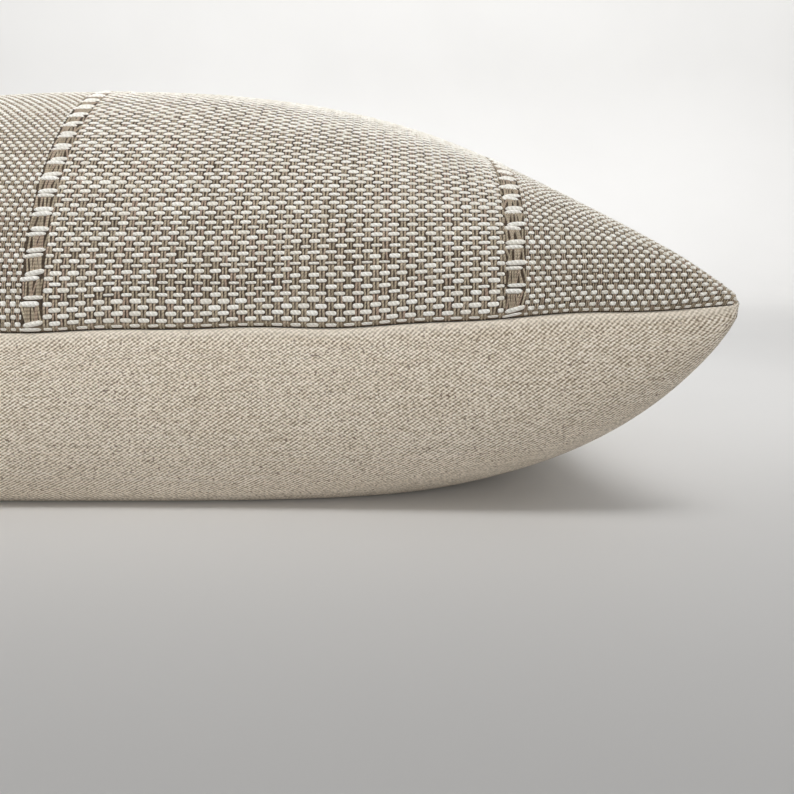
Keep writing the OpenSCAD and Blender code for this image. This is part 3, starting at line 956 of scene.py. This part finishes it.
def band_warp(left, right, repeat, phase, seed):
    """The warps that lie open between a band's floats, their threads side by side."""
    random = np.random.default_rng(seed)
    row, middle = band_places(left, right, repeat, phase + repeat / 2)
    gap = repeat * WARP_SHARE
    keep = (middle > left + 0.3 * gap) & (middle < right - 0.3 * gap)
    row, middle = row[keep], middle[keep]
    shades = row_noise(ROWS + 1, (np.zeros(len(row), int), middle), 1.1 * MM, seed + 1)
    parts = []
    lean = random.choice([-1, 1], len(row)) * random.uniform(0.2, 1, len(row))
    for k in range(WARP_THREADS):
        away = (k - (WARP_THREADS - 1) / 2) * gap * 0.5
        skew = 0.08 * gap * lean * (1 if k % 2 else -1)
        low = row_place(row) - 0.95 * ROW
        high = row_place(row) + 0.95 * ROW
        u0 = middle + away + skew + PLACE_SCATTER * gap * random.standard_normal(len(row))
        u1 = middle + away - skew + PLACE_SCATTER * gap * random.standard_normal(len(row))
        width = gap * 0.58 * (1 + 0.1 * random.standard_normal(len(row)))
        tone = np.clip(0.5 + 0.16 * shades + 0.16 * random.standard_normal(len(row)), 0, 1)
        height = np.full(len(row), 0.5 * MM) + 0.06 * MM * random.standard_normal(len(row))
        parts.append(yarn_strips(u0, low, u1, high, width, height, tone, **WARP))
    return parts


def ladder(left, seed):
    """A ladder stripe: two long floats, then two rows of bare splayed warps, repeated."""
    random = np.random.default_rng(seed)
    right = left + LADDER_W
    weft, warp = [], []
    row = np.arange(0, ROWS - 1)
    for turn, shift in ((0, -0.07), (1, 0.07)):
        here = row[row % 4 == turn]
        n = len(here)
        middle = (left + right) / 2 + shift * LADDER_W + 0.04 * LADDER_W * random.standard_normal(n)
        length = 1.06 * REPEAT * (1 + LENGTH_SCATTER * random.standard_normal(n))
        slope = 0.12 * ROW * (1 + random.standard_normal(n))
        v = row_place(here)
        width = np.clip(1.12 * weft_width(here, middle), 0, 0.95 * ROW)
        tone = np.clip(0.75 + 0.2 * random.standard_normal(n), 0, 1)
        height = 0.42 * width + 0.3 * MM
        u0 = middle - length / 2
        u1 = middle + length / 2
        weft.append(
            yarn_strips(u0, v - slope, u1, v + slope, width, height, tone, **LADDER_WEFT)
        )
    block = row[row % 4 == 2]
    n = len(block)
    for k in range(LADDER_THREADS):
        share = (k + 0.5) / LADDER_THREADS
        fan = 0.07 * LADDER_W * random.standard_normal(n)
        foot = left + LADDER_W * (0.06 + 0.88 * share) + 0.05 * LADDER_W * random.standard_normal(n)
        v = row_place(block) + ROW / 2
        tone = np.clip(0.55 + 0.25 * random.standard_normal(n), 0, 1)
        width = LADDER_W / LADDER_THREADS * random.uniform(1.2, 1.6, n)
        height = 0.55 * MM + 0.15 * MM * random.random(n)
        low = v - 1.75 * ROW
        high = v + 1.75 * ROW
        warp.append(
            yarn_strips(foot + fan, low, foot - fan, high, width, height, tone, **LADDER_WARP)
        )
    return weft, warp


weft_yarn = weft_material()
warp_yarn = warp_material()

# The stripes' left edges, from the left end to the right one
ladder_left = LADDER_X - LADDER_W / 2
ladder_right = ladder_left + LADDER_W + WIDE_W
outer_left = ladder_left - WIDE_W - LADDER_W
plain_start = outer_left + LADDER_W
plain_half = (plain_start + ladder_left) / 2
wide_start = ladder_left + LADDER_W
right_start = ladder_right + LADDER_W
cloth_end = CUT_L / 2

# Each band's name, its two edges, where its pattern starts, its repeat and its float's share
bands = [
    ("wide_left", -cloth_end, outer_left, -cloth_end, REPEAT, WIDE_SHARE),
    ("plain_left_a", plain_start, plain_half, outer_left, PLAIN_REPEAT, PLAIN_SHARE),
    ("plain_left_b", plain_half, ladder_left, outer_left, PLAIN_REPEAT, PLAIN_SHARE),
    ("wide", wide_start, ladder_right, wide_start, REPEAT, WIDE_SHARE),
    ("plain_right", right_start, cloth_end, right_start, PLAIN_REPEAT, PLAIN_SHARE),
]
yarns = []
for number, (name, left, right, pattern_start, repeat, share) in enumerate(bands):
    phase = pattern_start + PATTERN_SHIFT * repeat
    weft = [band_weft(left, right, repeat, share, phase, 100 + number)]
    warp = band_warp(left, right, repeat, phase, 200 + 10 * number)
    yarns.append(join("weft_" + name, weft, weft_yarn))
    yarns.append(join("warp_" + name, warp, warp_yarn))
for name, left, seed in (("a", outer_left, 301), ("b", ladder_left, 302), ("c", ladder_right, 303)):
    weft, warp = ladder(left, seed)
    yarns.append(join("ladder_weft_" + name, weft, weft_yarn))
    yarns.append(join("ladder_warp_" + name, warp, warp_yarn))

# ---------------------------------------------------------------- the insert


def lumps(points, size, depth, seed):
    """How far loose filling dents its casing at each point, from 0 to depth."""
    random = np.random.default_rng(seed)
    total = np.zeros(points.shape[:-1])
    for _ in range(LUMP_WAVES):
        heading = random.standard_normal(3)
        heading *= 2 * np.pi / (size * random.uniform(0.7, 1.6) * np.linalg.norm(heading))
        total += np.sin(points @ heading + random.uniform(0, 2 * np.pi))
    return depth * (0.5 + 0.5 * np.tanh(total / math.sqrt(LUMP_WAVES)))


def nested(side, inset, thin, size, depth, seed):
    """A lumpy face inside the cover, with small puckers along its seam."""
    a, b = np.meshgrid(np.linspace(-1, 1, NESTED_X), np.linspace(-1, 1, NESTED_Y))
    points = skin(a, b, side, inset, thin)
    dent = lumps(points, size, depth, seed)
    at_seam = np.maximum(np.abs(a), np.abs(b))
    pucker = depth * (0.5 + 0.5 * np.sin((points[..., 0] + points[..., 1]) / PUCKER))
    dent = dent + pucker * smoothstep(0.75, 0.95, at_seam)
    dent = dent * (1 - at_seam**8)
    points[..., 2] -= side * dent
    return points


def casing_sheet(name, side, material):
    """One face of the insert's casing, as a sheet."""
    points = nested(side, INSERT_IN, CASING_DEEP, 60 * MM, 0.8 * MM, 40)
    faces = grid_faces(*points.shape[:2])
    obj = new_mesh(name, points, faces if side > 0 else faces[:, ::-1])
    obj.data.materials.append(material)
    return obj


def filling(name, material):
    """The fill as one lumpy closed form."""
    top = nested(1, FILL_IN, FILL_DEEP, 25 * MM, 1.5 * MM, 41)
    bottom = nested(-1, FILL_IN, FILL_DEEP, 25 * MM, 1.5 * MM, 42)
    _, _, inner, faces = two_sided(*top.shape[:2])
    obj = new_mesh(name, np.concatenate([top.reshape(-1, 3), bottom[inner]]), faces)
    obj.data.materials.append(material)
    return obj


cotton = plain_cloth_material("insert_cotton", "f2f1ec", "dcdad2", 0.35 * MM)
casing_top = casing_sheet("casing_top", 1, cotton)
casing_bottom = casing_sheet("casing_bottom", -1, cotton)
filled = filling("loose_fill", fill_material())

# ---------------------------------------------------------------- the zip's coils


def beside_zip(angle, inward, up):
    """Points beside the zipped edge: round its arc, inside the seam, and off the seam's plane."""
    reach = LONG_R + inward
    out = LONG_R - reach * np.cos(angle)
    return np.stack(
        [
            reach * np.sin(angle),
            LONG_MID + out * math.cos(LONG_TILT) - up * math.sin(LONG_TILT),
            SEAM_Z + out * math.sin(LONG_TILT) + up * math.cos(LONG_TILT),
        ],
        -1,
    )


def unit(vectors):
    """Each row of vectors scaled to unit length."""
    return vectors / np.linalg.norm(vectors, axis=1, keepdims=True)


def coil(name, side, material):
    """One row of the zip: nylon wire wound round the tape's edge."""
    turns = int(2 * ZIP_HALF_ANGLE * LONG_R / COIL_PITCH)
    t = np.linspace(0, 1, turns * TURN_POINTS + 1)
    turn = 2 * np.pi * turns * t + (np.pi if side > 0 else 0)
    angle = ZIP_HALF_ANGLE * (2 * t - 1)
    wound = COIL_R - WIRE_R
    off_seam = side * (COIL_R + COIL_GAP) + wound * np.sin(turn)
    path = beside_zip(angle, COIL_IN + wound * np.cos(turn), off_seam)
    middle = beside_zip(angle, COIL_IN + 0 * t, side * COIL_R + 0 * t)
    ahead = unit(np.gradient(path, axis=0))
    outward = path - middle
    outward = unit(outward - ahead * (outward * ahead).sum(1, keepdims=True))
    sideways = np.cross(ahead, outward)
    round_wire = np.linspace(0, 2 * np.pi, WIRE_SIDES, endpoint=False)[None, :, None]
    ring = outward[:, None] * np.cos(round_wire) + sideways[:, None] * np.sin(round_wire)
    points = path[:, None] + WIRE_R * ring
    index = np.arange(len(path) * WIRE_SIDES).reshape(-1, WIRE_SIDES)
    index = np.concatenate([index, index[:, :1]], 1)
    faces = np.stack([index[:-1, :-1], index[:-1, 1:], index[1:, 1:], index[1:, :-1]], -1)
    obj = new_mesh(name, points, faces.reshape(-1, 4))
    obj.data.materials.append(material)
    return obj


nylon = coil_material()
coil_upper = coil("coil_upper", 1, nylon)
coil_lower = coil("coil_lower", -1, nylon)

# ---------------------------------------------------------------- the frame's own pieces

thread = thread_material()
tape = plain_cloth_material("zip_tape_cloth", "d8cdb6", "b8ab92", 0.5 * MM)
label = plain_cloth_material("label_tape", "f3f2ee", "e2e0da", 0.3 * MM)
lacquer = lacquer_material()
finishes = {
    "seam_thread": thread,
    "overlock_thread": thread,
    "zip_stitching": thread,
    "insert_seam_thread": thread,
    "zip_tape_upper": tape,
    "zip_tape_lower": tape,
    "zip_slider": lacquer,
    "zip_pull": lacquer,
    "zip_closed_stop": lacquer,
    "zip_open_stop": lacquer,
    "care_label": label,
    "insert_label": label,
}
for node, material in finishes.items():
    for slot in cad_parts[node].material_slots:
        slot.link = "OBJECT"
        slot.material = material

# ---------------------------------------------------------------- riding and replacing

stand_ins = [
    (front_base, "front_panel", "front_cloth"),
    (back_base, "back_panel", "back_twill"),
    (casing_top, "insert_front_casing", "insert_cotton"),
    (casing_bottom, "insert_back_casing", "insert_cotton"),
    (filled, "fill", "fill_fibre"),
    (coil_upper, "zip_coil_upper", "zip_coil"),
    (coil_lower, "zip_coil_lower", "zip_coil"),
]
for piece, node, slot in stand_ins:
    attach(piece, "pillow")
    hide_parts(node)
for piece in yarns:
    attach(piece, "pillow")

# ---------------------------------------------------------------- stage and light

# The sweep's bend from table to wall, and how far it reaches to the front, up and to each side
SWEEP_R = 0.5
SWEEP_Y = 1.1
STAGE_FRONT = -3.0
STAGE_TOP = 3.0
STAGE_HALF = 4.0
profile = [(STAGE_FRONT, 0.0), (SWEEP_Y, 0.0)]
profile += [
    (SWEEP_Y + SWEEP_R * math.sin(t), SWEEP_R * (1 - math.cos(t)))
    for t in np.linspace(0, math.pi / 2, 16)[1:]
]
profile.append((SWEEP_Y + SWEEP_R, STAGE_TOP))
backdrop_points = [(x, y, z) for y, z in profile for x in (-STAGE_HALF, STAGE_HALF)]
backdrop = new_mesh("backdrop", backdrop_points, grid_faces(len(profile), 2))
backdrop.data.materials.append(stage_material())


def area_light(name, at, toward, size, power, spread):
    """A rectangular lamp. power is in watts and spread in degrees."""
    data = bpy.data.lights.new(name, "AREA")
    data.shape = "RECTANGLE"
    data.size, data.size_y = size
    data.energy = power
    data.spread = math.radians(spread)
    lamp = bpy.data.objects.new(name, data)
    lamp.location = at
    lamp.rotation_euler = (Vector(toward) - Vector(at)).to_track_quat("-Z", "Y").to_euler()
    bpy.context.scene.collection.objects.link(lamp)


# Each lamp's name, its place, what it faces, its size, its power and its spread
lamps = [
    ("key", (0.15, -0.5, 1.0), (0.12, 0.2, 0), (1.2, 0.3), 1.5, 46),
    ("wall_wash", (0.1, 0.7, 1.3), (0.1, 1.5, 0.25), (3.2, 0.3), 14.5, 120),
    ("front_fill", (0.3, -1.5, 0.42), (0.1, 0, 0.08), (2.0, 0.6), 5.5, 180),
]
for lamp in lamps:
    area_light(*lamp)

ROOM_COLOUR = (0.98, 0.985, 1.0, 1)
ROOM_STRENGTH = 0.42
world = bpy.data.worlds.new("studio")
world.use_nodes = True
background = world.node_tree.nodes["Background"]
background.inputs["Color"].default_value = ROOM_COLOUR
background.inputs["Strength"].default_value = ROOM_STRENGTH
bpy.context.scene.world = world
bpy.context.scene.view_settings.view_transform = "Standard"
